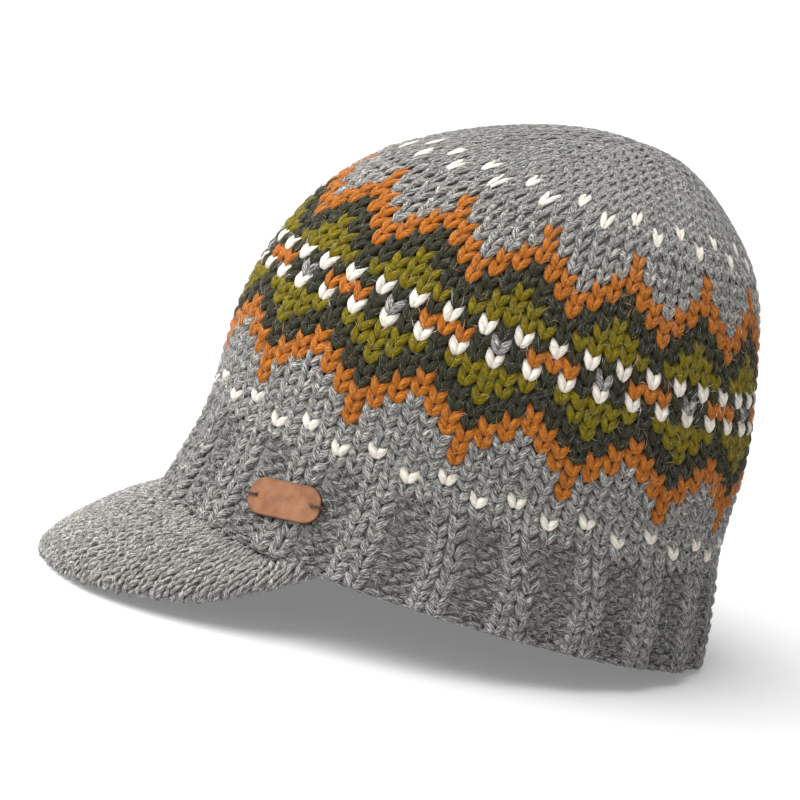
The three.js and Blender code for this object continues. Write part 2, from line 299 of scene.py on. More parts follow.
def brim_form(column, reach):
    i = np.clip(column * BRIM_GRID_LINES, 0, BRIM_GRID.shape[0] - 1.001)
    j = np.clip((reach + BRIM_GRID_REACH) / BRIM_GRID_STEP, 0, BRIM_GRID.shape[1] - 1.001)
    i0, j0 = i.astype(int), j.astype(int)
    a, b = (i - i0)[..., None], (j - j0)[..., None]
    near = BRIM_GRID[i0, j0] * (1 - b) + BRIM_GRID[i0, j0 + 1] * b
    far = BRIM_GRID[i0 + 1, j0] * (1 - b) + BRIM_GRID[i0 + 1, j0 + 1] * b
    return near * (1 - a) + far * a


def brim_place(column, reach, outward):
    """A place on the brim: its column, its distance from the edge (above is positive), how far out."""
    across = brim_form(column + COLUMN_STEP, reach) - brim_form(column - COLUMN_STEP, reach)
    inward = brim_form(column, reach + INWARD_STEP) - brim_form(column, reach - INWARD_STEP)
    normal = unit(np.cross(across, inward))
    return to_frame(brim_form(column, reach) + normal * np.asarray(outward)[..., None])


# Meshes of closed tubes

class Tubes:
    """Closed tubes of one build: rings of points with a tip at each end."""

    def __init__(self, rings, sides):
        quads, tris, quad_uv, tri_uv = [], [], [], []
        for i in range(rings - 1):
            for j in range(sides):
                k = (j + 1) % sides
                quads.append((i * sides + j, i * sides + k, (i + 1) * sides + k, (i + 1) * sides + j))
                quad_uv.append([(i + 1, j), (i + 1, j + 1), (i + 2, j + 1), (i + 2, j)])
        end, tip = (rings - 1) * sides, rings * sides
        for j in range(sides):
            k = (j + 1) % sides
            tris += [(tip, k, j), (tip + 1, end + j, end + k)]
            tri_uv += [[(0, j + 0.5), (1, j + 1), (1, j)], [(rings + 1, j + 0.5), (rings, j), (rings, j + 1)]]
        self.quads, self.tris = np.array(quads, int).reshape(-1, 4), np.array(tris)
        size = np.array([rings + 1, sides], float)
        self.quad_uv, self.tri_uv = np.reshape(quad_uv, (-1, 4, 2)) / size, np.array(tri_uv) / size
        self.count = tip + 2


def faces_out(points, tubes):
    """Whether a tube's faces look outwards, from the sign of its volume."""
    points = points - points.mean(0)
    a, b, c = (points[tubes.tris[:, i]] for i in range(3))
    total = np.einsum("ij,ij->", a, np.cross(b, c))
    q = points[tubes.quads]
    total += np.einsum("ij,ij->", q[:, 0], np.cross(q[:, 1], q[:, 2]))
    total += np.einsum("ij,ij->", q[:, 0], np.cross(q[:, 2], q[:, 3]))
    return total > 0


# Each tube's own cell of its UV map: its margin, and how much wider than tall it is
CELL_MARGIN, CELL_WIDER = 0.04, 2.5


def join_tubes(name, batches, material, replaced=()):
    """One piece from batches of tubes. A batch is (tubes, points, yarn); yarn holds each point's place
    along and round its strand, in millimetres, and the strand's own number."""
    quads, tris, quad_uv, tri_uv = [], [], [], []
    total = sum(len(points) for _, points, _ in batches)
    across = math.ceil(math.sqrt(total / CELL_WIDER))
    cells = np.array([across, math.ceil(total / across)], float)
    start = cell = 0
    for tubes, points, _ in batches:
        count = len(points)
        order = 1 if faces_out(points[count // 2], tubes) else -1
        offset = start + np.arange(count)[:, None, None] * tubes.count
        number = cell + np.arange(count)
        corner = np.stack([number % across, number // across], -1)[:, None, None] + CELL_MARGIN
        for corners, places, face, uv in ((quads, quad_uv, tubes.quads, tubes.quad_uv),
                                          (tris, tri_uv, tubes.tris, tubes.tri_uv)):
            corners.append((face[None, :, ::order] + offset).ravel())
            inside = (1 - 2 * CELL_MARGIN) * uv[None, :, ::order]
            places.append(((corner + inside) / cells).reshape(-1, 2))
        start += count * tubes.count
        cell += count
    sizes = np.repeat([4, 3], [sum(map(len, quads)) // 4, sum(map(len, tris)) // 3])
    verts = np.concatenate([points.reshape(-1, 3) for _, points, _ in batches])
    yarn = np.concatenate([yarn.reshape(-1, 3) for _, _, yarn in batches])
    mesh = bpy.data.meshes.new(name)
    mesh.vertices.add(len(verts))
    mesh.vertices.foreach_set("co", verts.astype(np.float32).ravel())
    mesh.loops.add(sizes.sum())
    mesh.loops.foreach_set("vertex_index", np.concatenate(quads + tris).astype(np.int32))
    mesh.polygons.add(len(sizes))
    mesh.polygons.foreach_set("loop_start", (np.cumsum(sizes) - sizes).astype(np.int32))
    mesh.update(calc_edges=True)
    mesh.shade_smooth()
    baked = mesh.uv_layers.new(name="OFBake")
    baked.uv.foreach_set("vector", np.concatenate(quad_uv + tri_uv).astype(np.float32).ravel())
    made = mesh.attributes.new("yarn", "FLOAT_VECTOR", "POINT")
    made.data.foreach_set("vector", yarn.astype(np.float32).ravel())
    mesh.materials.append(material)
    piece = add_object(name, mesh)
    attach(piece, "root")
    if replaced:
        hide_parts(*replaced)


def add_object(name, data):
    made = bpy.data.objects.new(name, data)
    bpy.context.scene.collection.objects.link(made)
    return made


def with_tips(rows):
    """The points of rows that form loops, and then the middles of the first and the last row."""
    return np.concatenate([rows.reshape(-1, 3), rows[[0]].mean(1), rows[[-1]].mean(1)])


def grid_piece(name, points, yarn, material, replaced=()):
    """A closed skin over rows of points that form loops, with its first and last row drawn to a point."""
    batch = (Tubes(*points.shape[:2]), with_tips(points)[None], with_tips(yarn)[None])
    join_tubes(name, [batch], material, replaced)


# A direction that no strand follows
ASKEW = np.array([0.31, 0.17, 0.93])


def spokes(side, over, count):
    """Even directions all round, from the first through the second."""
    angle = np.arange(count) / count * TAU
    return np.cos(angle)[:, None] * side[..., None, :] + np.sin(angle)[:, None] * over[..., None, :]


def rings_round(line, ahead, radius, sides):
    """A ring of points round each point of a line; ahead is the line's direction there."""
    side = unit(np.cross(ahead, ASKEW))
    round_it = spokes(side, np.cross(side, ahead), sides)
    return line[..., None, :] + np.asarray(radius)[..., None, None] * round_it


# Stitches

# One leg of a knit stitch, from its tip below to its tip above, for a stitch of this width and height:
# its middle line to the right, up and out, and half its width and depth
STITCH_WIDTH, STITCH_HEIGHT = 7.1, 5.13
LEG = Table("right up out wide deep", [
    (0.12, -3.95, -0.1, 0.0, 0.0),
    (0.45, -3.25, 0.65, 1.00, 0.88),
    (0.98, -1.70, 1.05, 1.45, 1.20),
    (1.75, 0.10, 0.85, 1.82, 1.32),
    (2.45, 1.90, 0.20, 1.64, 1.20),
    (3.05, 3.50, -0.55, 1.10, 0.95),
    (3.50, 5.00, -1.3, 0.0, 0.0),
])
# A purl stitch's bump, from its left end to its right one
BUMP = Table("right up out wide deep", [
    (-4.00, -1.30, -1.30, 0.0, 0.0),
    (-2.80, -0.60, -0.35, 1.20, 1.05),
    (-1.20, 0.00, 0.40, 1.55, 1.25),
    (1.20, 0.00, 0.40, 1.55, 1.25),
    (2.80, -0.60, -0.35, 1.20, 1.05),
    (4.00, -1.30, -1.30, 0.0, 0.0),
])
# How far below a purl stitch's middle its head lies, and how far above it the link, as shares of a row
BUMP_DROP, LINK_RISE = 0.27, 0.23
ROUND = np.radians([0, 45, 90, 135, 180, 270])
FLAT_BELOW = 0.6


def strand_template(table):
    """Points round one strand: right, up and out, with its place along and round the yarn."""
    line = np.stack([table["right"], table["up"], table["out"]], -1)
    along = run_along(line)
    ahead = unit(np.gradient(line[:, :2], axis=0))
    across = np.stack([ahead[:, 1], -ahead[:, 0]], -1)
    points, yarn = [], []
    for i in range(1, len(line) - 1):
        for angle in ROUND:
            sideways = table["wide"][i] * math.cos(angle)
            out = table["deep"][i] * math.sin(angle) * (1 if angle <= math.pi else FLAT_BELOW)
            points.append([*(line[i, :2] + across[i] * sideways), line[i, 2] + out])
            yarn.append([along[i], angle * table["wide"][3], 0])
    for i in (0, -1):
        points.append(line[i])
        yarn.append([along[i], math.pi / 2 * table["wide"][3], 0])
    return np.array(points), np.array(yarn)


LEG_TUBES = Tubes(len(LEG["up"]) - 2, len(ROUND))
BUMP_TUBES = Tubes(len(BUMP["up"]) - 2, len(ROUND))
LEG_STRAND, BUMP_STRAND = strand_template(LEG), strand_template(BUMP)
LINK_STRAND = BUMP_STRAND[0] * [1, -1, 1], BUMP_STRAND[1]

# How unevenly strands lie: in size, in turn and in place, and the most that one strays, as a multiple
SIZE_SPREAD, TURN_SPREAD = 0.06, 0.06
PLACE_SPREAD = np.array([0.16, 0.16, 0.07])
SPREAD_LIMIT = 2.5
# Strands are numbered, and their streaks start, anywhere from nought to this
STRAND_NUMBERS = 500


def strands(strand, place, column, row, column_width, row_height, size=1.0, sink=0.0, mirror=False,
            loose=1.0, slant=0.0):
    """Copies a strand to many places. column and row are where each lies in place's own measure, and
    column_width and row_height are one stitch in it."""
    points, yarn = strand
    count = len(column)

    def spread(amount, *shape):
        limit = SPREAD_LIMIT * amount
        return rng.normal(0, amount * loose, (count, *shape)).clip(-limit, limit)

    def each(value):
        return np.reshape(value, (-1, 1))

    local = np.repeat(points[None], count, axis=0)
    if mirror:
        local[..., 0] *= -1
    middle = local.mean(1, keepdims=True)
    fat = 1 + spread(SIZE_SPREAD, 1, 1)
    local = middle + (local - middle) * np.concatenate([fat, np.ones_like(fat), fat], -1)
    angle = spread(TURN_SPREAD, 1) + each(slant)
    x, y = (local - middle)[..., 0], (local - middle)[..., 1]
    local[..., 0] = middle[..., 0] + x * np.cos(angle) + y * np.sin(angle)
    local[..., 1] = middle[..., 1] + y * np.cos(angle) - x * np.sin(angle)
    local += spread(1, 1, 3) * PLACE_SPREAD
    right = column[:, None] + local[..., 0] / STITCH_WIDTH * each(column_width)
    up = row[:, None] + local[..., 1] / STITCH_HEIGHT * each(row_height)
    placed = place(right, up, local[..., 2] * each(size) - each(sink))
    marks = np.repeat(yarn[None], count, axis=0)
    marks[..., 0] += rng.uniform(0, STRAND_NUMBERS, (count, 1))
    marks[..., 2] = rng.uniform(0, STRAND_NUMBERS, (count, 1))
    return placed, marks


def knit_stitches(**how):
    """Both legs of each knit stitch."""
    return [(LEG_TUBES, *strands(LEG_STRAND, mirror=mirror, **how)) for mirror in (False, True)]


def purl_bumps(column, row, **how):
    """The two bumps of each purl stitch: its own head, and the strand that joins it to the next."""
    width, height = how["column_width"], how["row_height"]
    heads = strands(BUMP_STRAND, column=column, row=row - height * BUMP_DROP, **how)
    links = strands(LINK_STRAND, column=column + width / 2, row=row + height * LINK_RISE, **how)
    return [(BUMP_TUBES, *heads), (BUMP_TUBES, *links)]


# Finishes

def srgb(*colour):
    """The light of a colour whose red, green and blue run from 0 to 255."""
    shares = [c / 255 for c in colour]
    return [c / 12.92 if c <= 0.04045 else ((c + 0.055) / 1.055) ** 2.4 for c in shares] + [1]


def stops(*rows):
    """The stops of a ramp, from rows of a position and a colour's red, green and blue."""
    return [(position, srgb(*colour)) for position, *colour in rows]


def shades(*rows):
    """The stops of a ramp that darkens what it is laid on, from rows of a position and three shares."""
    return [(position, [*shares, 1]) for position, *shares in rows]


class Nodes:
    """The nodes of a new material or world, with short ways to add and link them."""

    def __init__(self, name, kind=bpy.data.materials):
        self.made = kind.new(name)
        self.made.use_nodes = True
        self.tree = self.made.node_tree

    def fill(self, node, inputs):
        for key, value in inputs.items():
            if isinstance(value, bpy.types.NodeSocket):
                self.tree.links.new(value, node.inputs[key])
            else:
                node.inputs[key].default_value = value

    def add(self, kind, inputs, output=0, **settings):
        """Adds a node and gives one of its outputs."""
        node = self.tree.nodes.new("ShaderNode" + kind)
        for key, value in settings.items():
            setattr(node, key, value)
        self.fill(node, inputs)
        return node.outputs[output]

    def math(self, operation, a, b=0.0, c=0.0):
        return self.add("Math", {0: a, 1: b, 2: c}, operation=operation)

    def mix(self, share, a, b, blend="MIX"):
        return self.add("Mix", {0: share, 6: a, 7: b}, 2, data_type="RGBA", blend_type=blend)

    def yarn(self):
        """Each point's place along and round its strand, and the strand's number."""
        return self.add("Attribute", {}, "Vector", attribute_name="yarn")

    def parts(self, vector):
        return self.add("SeparateXYZ", {0: vector}).node.outputs

    def scaled(self, vector, x, y, z):
        return self.add("VectorMath", {0: vector, 1: (x, y, z)}, operation="MULTIPLY")

    def noise(self, vector, detail, roughness=0.6):
        inputs = {"Vector": vector, "Scale": 1.0, "Detail": detail, "Roughness": roughness}
        return self.add("TexNoise", inputs, "Fac")

    def chance(self, number):
        """A number from nought to one by chance, the same for the same number."""
        return self.add("TexWhiteNoise", {"W": number}, "Value", noise_dimensions="1D")

    def bump(self, height, strength, distance):
        return self.add("Bump", {"Strength": strength, "Distance": distance * MM, "Height": height})

    def ramp(self, factor, rows):
        colour = self.add("ValToRGB", {"Fac": factor}, "Color")
        elements = colour.node.color_ramp.elements
        while len(elements) < len(rows):
            elements.new(0.5)
        for element, (position, stop) in zip(elements, rows):
            element.position = position
            element.color = stop
        return colour

    def finish(self, inputs, shader="Principled BSDF"):
        self.fill(self.tree.nodes[shader], inputs)
        return self.made


# How much the yarn's twist turns its streaks, and its plies: how wide each lies, how dark its groove is
# painted as shade, and how much it wanders
TWIST = 0.5
PLY_WIDTH, PLY_GROOVE_SHADE, PLY_WANDER = 2.9, 0.34, 1.2
# The length and width of the streaks of colour, of single fibres, and of the plies' wandering, and how
# far the last two are moved so that they differ
STREAK, FIBRE, WANDER = (1.9, 0.42), (2.0, 0.14), (6.0, 3.0)
FIBRE_SHIFT, WANDER_SHIFT = 37.0, 71.0
# How bright a ply's crest is painted as light, how much strands differ in tone, and how strong and deep
# the relief is
PLY_CREST_LIGHT, TONE_SPREAD, WOOL_BUMP, WOOL_BUMP_DEPTH = 1.1, 0.16, 0.6, 0.45
# How much of the relief is streaks and plies, against single fibres
COARSE_SHARE = 0.8


def wool(name, colours, fleck=0.35, sheen=0.08):
    """Spun wool. colours are the stops of its streaks, from dark to light."""
    n = Nodes(name)
    along, around, strand = n.parts(n.yarn())
    turned = n.math("MULTIPLY_ADD", along, TWIST, around)

    def streaks(size, detail, roughness, shift=0.0):
        length, width = size
        return n.noise(n.add("CombineXYZ", {
            0: n.math("MULTIPLY", along, 1 / length),
            1: n.math("MULTIPLY", turned, 1 / width),
            2: n.math("ADD", strand, shift),
        }), detail, roughness)

    marl = streaks(STREAK, 3.0, 0.65)
    fibre = streaks(FIBRE, 2.0, 0.6, FIBRE_SHIFT)
    wander = streaks(WANDER, 1.0, 0.5, WANDER_SHIFT)
    ply = n.math("MULTIPLY", n.math("MULTIPLY_ADD", wander, PLY_WANDER, turned), math.pi / PLY_WIDTH)
    crest = n.math("POWER", n.math("ABSOLUTE", n.math("SINE", ply)), 0.5)
    light = n.math("MULTIPLY_ADD", fibre, fleck, 1 - fleck / 2)
    # Each ply is painted lighter on its crest and darker in its groove: painted light and shade
    light = n.math("MULTIPLY", light, n.math("MULTIPLY_ADD", crest, PLY_GROOVE_SHADE, PLY_CREST_LIGHT - PLY_GROOVE_SHADE))
    tone = n.math("MULTIPLY_ADD", n.chance(strand), TONE_SPREAD, 1 - TONE_SPREAD / 2)
    light = n.math("MULTIPLY", light, tone)
    shade = n.add("CombineColor", {0: light, 1: light, 2: light})
    height = n.math("MULTIPLY_ADD", crest, COARSE_SHARE, fibre)
    height = n.math("MULTIPLY_ADD", marl, COARSE_SHARE, height)
    return n.finish({
        "Base Color": n.mix(1.0, n.ramp(marl, colours), shade, "MULTIPLY"),
        "Normal": n.bump(height, WOOL_BUMP, WOOL_BUMP_DEPTH),
        "Roughness": 0.92,
        "Specular IOR Level": 0.2,
        "Sheen Weight": sheen,
        "Sheen Roughness": 0.5,
    })


def grey_wool(name, share):
    """The one grey yarn, its colours scaled by share: above one that is painted light, below one painted
    shade.
    """
    grey = stops((0.35, 44, 44, 42), (0.45, 94, 93, 90), (0.53, 146, 144, 140), (0.64, 212, 209, 203))
    return wool(name, [(position, [c * share for c in colour[:3]] + [1]) for position, colour in grey])


def plain_wool(name, positions, dark, middle, light, fleck, sheen=0.08):
    """A yarn of one colour, with the positions of its dark, middle and light stops."""
    rows = [(position, *colour) for position, colour in zip(positions, (dark, middle, light))]
    return wool(name, stops(*rows), fleck, sheen)


DYED, UNDYED = (0.3, 0.5, 0.7), (0.25, 0.5, 0.75)
# One grey yarn in lit and shaded copies: painted light on the brim, slight painted shade on the crown, deeper
# painted shade on the ribs and the deepest in the grooves between them
WOOLS = {
    "grey": grey_wool("grey wool", 0.93),
    "brim": grey_wool("grey wool with painted light, brim", 1.08),
    "ribs": grey_wool("grey wool with painted shade, ribs", 0.82),
    "grooves": grey_wool("grey wool with deep painted shade, grooves", 0.58),
    "orange": plain_wool("orange wool", DYED, (106, 50, 3), (162, 91, 13), (212, 134, 46), 0.45),
    "olive": plain_wool("olive wool", DYED, (60, 51, 0), (104, 91, 0), (148, 131, 18), 0.45, 0.03),
    "charcoal": plain_wool("charcoal wool", DYED, (22, 22, 14), (43, 42, 28), (76, 75, 56), 0.45, 0.03),
    "white": plain_wool("white wool", UNDYED, (200, 192, 178), (226, 218, 206), (238, 232, 222), 0.12),
}


# Where the dark yarns run behind the stitches, and the gaps are painted dark also as shade: the middle of the
# pattern and half its height
PATTERN_MIDDLE, PATTERN_HALF = 101, 36


def make_backing_finish():
    """The yarn deep between the stitches; in the pattern it is dark, partly the dark floats behind and partly
    painted shade in the gaps.
    """
    n = Nodes("yarn between the stitches, painted dark in the pattern")
    place = n.yarn()
    grain = n.noise(n.scaled(place, 0.9, 0.9, 0.9), 4)
    grey = n.ramp(grain, stops((0.3, 84, 84, 81), (0.7, 168, 166, 162)))
    dark = n.ramp(grain, stops((0.3, 30, 29, 18), (0.7, 72, 66, 30)))
    # In the pattern the backing is dark: the floats, and painted shade in the gaps
    patterned = n.math("COMPARE", n.parts(place)[0], PATTERN_MIDDLE, PATTERN_HALF)
    return n.finish({
        "Base Color": n.mix(patterned, grey, dark),
        "Normal": n.bump(grain, 0.6, 1),
        "Roughness": 0.95,
        "Specular IOR Level": 0.1,
    })


BACKING = make_backing_finish()


# The crown's pattern: one repeat of six stitches, row by row from nine above its middle to nine below.
# Apart from the middle three, the rows below mirror those above.

YARN_LETTERS = {"g": "grey", "O": "orange", "D": "charcoal", "L": "olive", "W": "white"}
UPPER_CHART = [
    "Oggggg",
    "Oggggg",
    "OOgggO",
    "DOOgOO",
    "DDOOOD",
    "LDDODD",
    "LLDDDL",
    "LLLDLL",
]
MIDDLE_CHART = [
    "DWDWDW",
    "gDOOOD",
    "WDWDWD",
]
CHART = UPPER_CHART + MIDDLE_CHART + UPPER_CHART[::-1]
REPEAT = 6
CHART_TOP = 9
# Rows of single white stitches, every fourth one: row, and which of the four
DOT_ROWS = {11: 3, 12: 1, -11: 0, -12: 2}
DOT_REPEAT = 4
STITCHES = 84
TIP_COLUMN = 15
TOP_ROW, BOTTOM_ROW = 12, -13
KNIT_SINK = 1.65
# How much less evenly the plain grey stitches lie than the patterned ones
GREY_LOOSE = 1.7
# How high up the knitting its rows lie: they close up above the ribs
ROWS = Table("row along", [
    (-21, 3.0), (-20, 7.1), (-14, 36.8), (-13, 41.6), (-12, 45.7), (-11, 49.8), (-10, 53.6), (-9, 57.4),
    (-8, 62.0), (-1, 94.6), (0, 99.7), (1, 105.0), (9, 146.0), (10, 152.2), (11, 158.8), (12, 165.2),
    (13, 170.6),
])
# No stitch is drawn taller than this, where the rows lie further apart
TALLEST_ROW = 6.2
# The height of each plain row above those, where the crown is drawn in
DECREASE_ROW_HEIGHT = 4.8
# Towards the top the wool is felted: its stitches are flatter and fill the wall
FELTED_FROM, FELTED_TO = 140, 168
FELTED_FLATTER, FELTED_RISE = 0.68, 1.5
# Where stitches are narrower than the gauge they are thinner too, down to this share of it
NARROWEST = 0.55
# Where the columns stray from upright: which column most, over how many, and how far at the dots
STRAY_COLUMN, STRAY_COLUMNS, STRAY = 20, 7, 0.75
STRAY_ROWS = Table("row share", [(-17, 0), (-12, 1), (-9, 0.65), (0, 0), (12, 0)])
# Near the top they spread again at the wearer's left: how far each column moves, and at which rows
SPREAD = Table("column move", [(-10, 0), (13, -1.2), (19, -0.25), (27, 0.35), (40, 0)])
SPREAD_ROWS = Table("row share", [(8, 0), (11, 1), (12, 1), (16, 0), (30, 0)])


def row_along(row):
    return ROWS.read("along", row)


def stitch_share(column, row):
    """How far round the cap the middle of a stitch lies."""
    near = np.exp(-((column - STRAY_COLUMN) / STRAY_COLUMNS) ** 2)
    stray = STRAY * STRAY_ROWS.read("share", row) * near
    first = SPREAD["column"][0]
    move = SPREAD.read("move", (column - first) % STITCHES + first)
    spread = SPREAD_ROWS.read("share", row) * move
    return (column + 0.5 - stray + spread) / STITCHES


def yarn_at(row, column):
    """The yarn of a stitch. column counts from the front towards the wearer's left."""
    if row in DOT_ROWS:
        return "white" if (column - TIP_COLUMN - DOT_ROWS[row]) % DOT_REPEAT == 0 else "grey"
    if abs(row) <= CHART_TOP:
        return YARN_LETTERS[CHART[CHART_TOP - row][(column - TIP_COLUMN) % REPEAT]]
    return "grey"


def crown_stitches():
    """Every knit stitch of the crown: its yarn, share, along, width as a share, and height."""
    found = []
    for row in range(BOTTOM_ROW, TOP_ROW + 1):
        height = min(row_along(row + 0.5) - row_along(row - 0.5), TALLEST_ROW)
        for column in range(STITCHES):
            share, along = stitch_share(column, row), row_along(row)
            found.append((yarn_at(row, column), share, along, 1 / STITCHES, height))
    row, along = TOP_ROW, row_along(TOP_ROW)
    for left in [*range(STITCHES - DECREASE_LINES, 0, -DECREASE_LINES), DECREASE_LINES]:
        row += 1
        along += DECREASE_ROW_HEIGHT
        for stitch in range(left):
            share = stitch_share((stitch + 0.5) / left * STITCHES - 0.5, row)
            found.append(("grey", share, along, 1 / left, DECREASE_ROW_HEIGHT))
    return found


CROWN_STITCHES = crown_stitches()


def crown_part(yarn, part=""):
    """The crown's stitches of one yarn, all or those of its top or side, as strands takes them."""
    share, along, width, height = np.array([s[1:] for s in CROWN_STITCHES if s[0] == yarn]).T
    gauge = SIDE.read("scale", along) * OVAL_ROUND * width / STITCH_WIDTH
    felted = smoothstep(along, FELTED_FROM, FELTED_TO)
    found = dict(
        column=share, row=along, column_width=width, row_height=height,
        size=np.clip(gauge, NARROWEST, 1.0) ** 0.5 * (1 - FELTED_FLATTER * felted),
        sink=KNIT_SINK - FELTED_RISE * felted,
    )
    top = along > row_along(CHART_TOP + 0.5)
    chosen = {"": slice(None), "top": top, "side": ~top}[part]
    return dict(place=cap_place, **{name: values[chosen] for name, values in found.items()})


def make_crown():
    plain = [(yarn, "") for yarn in ("orange", "olive", "charcoal", "white")]
    for yarn, part in [*plain, ("grey", "top"), ("grey", "side")]:
        name = "_".join(["crown_stitches", yarn, part]).rstrip("_")
        batches = knit_stitches(**crown_part(yarn, part), loose=GREY_LOOSE if yarn == "grey" else 1.0)
        join_tubes(name, batches, WOOLS[yarn], ["crown"] if part == "side" else ())


BAND_ROWS, BAND_ROW_HEIGHT, BAND_LOOSE = 8, 4.95, 1.7


def band_part(knit):
    """Every stitch of one kind in the band: pairs of knit columns between pairs of purl columns."""
    columns = np.array([c for c in range(STITCHES) if (c % 4 in (0, 3)) == knit])
    rows = np.arange(BOTTOM_ROW - BAND_ROWS, BOTTOM_ROW)
    row, column = (a.ravel() for a in np.meshgrid(rows, columns, indexing="ij"))
    return dict(place=cap_place, column=stitch_share(column, row), row=row_along(row),
                column_width=1 / STITCHES, row_height=BAND_ROW_HEIGHT, sink=KNIT_SINK)


def make_band():
    knit = knit_stitches(**band_part(True), loose=BAND_LOOSE)
    join_tubes("band_knit_stitches", knit, WOOLS["ribs"], ["rib_band"])
    purl = purl_bumps(**band_part(False), loose=BAND_LOOSE)
    join_tubes("band_purl_stitches", purl, WOOLS["grooves"])


# The cast-on edge: a slanting strand for each stitch, laid round the rim in four turns
EDGE = Table("right up out wide deep", [
    (-4.2, -1.0, -1.0, 0.0, 0.0),
    (-2.8, -0.55, -0.1, 0.85, 0.75),
    (-1.0, -0.15, 0.25, 1.15, 0.95),
    (1.0, 0.15, 0.25, 1.15, 0.95),
    (2.8, 0.55, -0.1, 0.85, 0.75),
    (4.2, 1.0, -1.0, 0.0, 0.0),
])
EDGE_TURNS = [(18, 0.0), (70, 0.5), (122, 0.0), (168, 0.5)]
EDGE_RADIUS, EDGE_SINK = 2.6, 0.9


def make_cast_on():
    share = (np.arange(STITCHES) + 0.5) / STITCHES
    batches = []
    for degrees, offset in EDGE_TURNS:
        middle = np.full(STITCHES, math.radians(degrees))
        placed = strands(strand_template(EDGE), rim_place, share + offset / STITCHES, middle, 1 / STITCHES,
                         -STITCH_HEIGHT / EDGE_RADIUS, sink=EDGE_SINK)
        batches.append((BUMP_TUBES, *placed))
    join_tubes("band_cast_on_edge", batches, WOOLS["ribs"])


BACKING_DEPTH, BACKING_INNER = 1.8, 4.2
BACKING_COLUMNS, BACKING_ROWS, INNER_ROWS = 168, 50, 110
# How far the backing stays from the rim, and from the tip outside and inside
RIM_MARGIN, OUTER_MARGIN, INNER_MARGIN = 1.5, 3, 8
# The ridges inside: how far they stand out, from one to the next, and how much they wave
INNER_RIDGE, INNER_PITCH, INNER_WAVE = 0.65, 4.9, 0.25


def make_backing():
    """The wall beneath the stitches, closed at the rim and at the top, with purl ridges on its inside."""
    outer = np.linspace(RIM_MARGIN, TIP_ALONG - OUTER_MARGIN, BACKING_ROWS)
    inner = np.linspace(TIP_ALONG - INNER_MARGIN, RIM_MARGIN, INNER_ROWS)
    shares = np.arange(BACKING_COLUMNS) / BACKING_COLUMNS
    along, share = np.meshgrid(np.concatenate([outer, inner]), shares, indexing="ij")
    wave = INNER_WAVE * np.cos(TAU * (share * STITCHES % 1))
    ridge = np.cos(TAU * (along / INNER_PITCH + wave))
    depth = BACKING_INNER + INNER_RIDGE * ridge
    felted = smoothstep(outer, FELTED_FROM, FELTED_TO)[:, None]
    depth[:BACKING_ROWS] = BACKING_DEPTH - FELTED_RISE * felted
    yarn = np.stack([along, share * OVAL_ROUND, 0 * along], -1)
    tip_first = np.roll(np.arange(len(along)), -BACKING_ROWS)
    points = cap_place(share, along, -depth)
    grid_piece("yarn_backing", points[tip_first], yarn[tip_first], BACKING)


# The brim's stitches: columns run out from the crease, over the edge and back below

BRIM_KNIT_SINK = 1.45
BRIM_ROOT_MARGIN = 4.0
BRIM_LOOSE = 1.8
# Rows are tried this far either way from the edge, and kept as far as the brim reaches
BRIM_ROWS = 24
# The two strands of a stitch at the brim's tip: how far each slants, and how much one leads. From there
# to both ends the slant turns with the edge, so that all strands lie alike.
BRIM_SLANTS, BRIM_LEAD = {False: -0.50, True: -0.05}, {False: 0.0, True: 0.4}
BRIM_SLANT_TURN = 0.044
# A stitch's width, its depth against a cap stitch's, and the spacing under which every other column stops
BRIM_STITCH_WIDTH, BRIM_STITCH_DEPTH, BRIM_CLOSEST = 5.0, 0.95, 3.6
SCALLOP, SCALLOP_REACH = 0.4, 5
# The backing: how deep it lies, its columns and rows, its margin as a share, and a column in millimetres
BRIM_BACKING_DEPTH, BRIM_BACKING_SHAPE, BRIM_BACKING_MARGIN, BRIM_COLUMN_MM = 1.9, (121, 80), 0.02, 5


def scalloped_brim_place(column, reach, outward):
    """The brim's surface, swelling a little at each column where it turns over the edge."""
    swell = SCALLOP * -np.cos(TAU * column) * np.exp(-(reach / SCALLOP_REACH) ** 2)
    return brim_place(column, reach, outward + swell)


def brim_stitches():
    """Every stitch of the brim: its column, its distance from the edge, and its width in columns."""
    rows = np.arange(-BRIM_ROWS, BRIM_ROWS + 1)
    column, row = (a.ravel() for a in np.meshgrid(np.arange(BRIM_COLUMNS) + 0.5, rows))
    reach = row * BRIM_ROW
    above = brim_root(column, BRIM_ABOVE) - BRIM_ROOT_MARGIN
    below = brim_root(column, BRIM_BELOW) + BRIM_ROOT_MARGIN
    spacing = np.linalg.norm(brim_form(column + 0.5, reach) - brim_form(column - 0.5, reach), axis=-1)
    kept = (reach < above) & (reach > below) & ((spacing > BRIM_CLOSEST) | (column % 2 < 1))
    return np.stack([column, reach, BRIM_STITCH_WIDTH / np.maximum(spacing, 1)])[:, kept]


def brim_strands(strand, mirror, loose, column, reach, width):
    """One of the two strands of each brim stitch, or a fibre that lies on it."""
    slant = BRIM_SLANTS[mirror] + BRIM_SLANT_TURN * (column - BRIM_COLUMNS / 2)
    row = reach + BRIM_LEAD[mirror] * BRIM_ROW
    return strands(strand, scalloped_brim_place, column, row, width, BRIM_ROW, size=BRIM_STITCH_DEPTH,
                   sink=BRIM_KNIT_SINK, mirror=mirror, loose=loose, slant=slant)


def make_brim():
    stitches = brim_stitches()
    above = stitches[1] >= 0
    for name, side, replaced in (("above", above, ["brim"]), ("below", ~above, ())):
        batches = [
            (LEG_TUBES, *brim_strands(LEG_STRAND, mirror, BRIM_LOOSE, *stitches[:, side]))
            for mirror in (False, True)
        ]
        join_tubes("brim_stitches_" + name, batches, WOOLS["brim"], replaced)


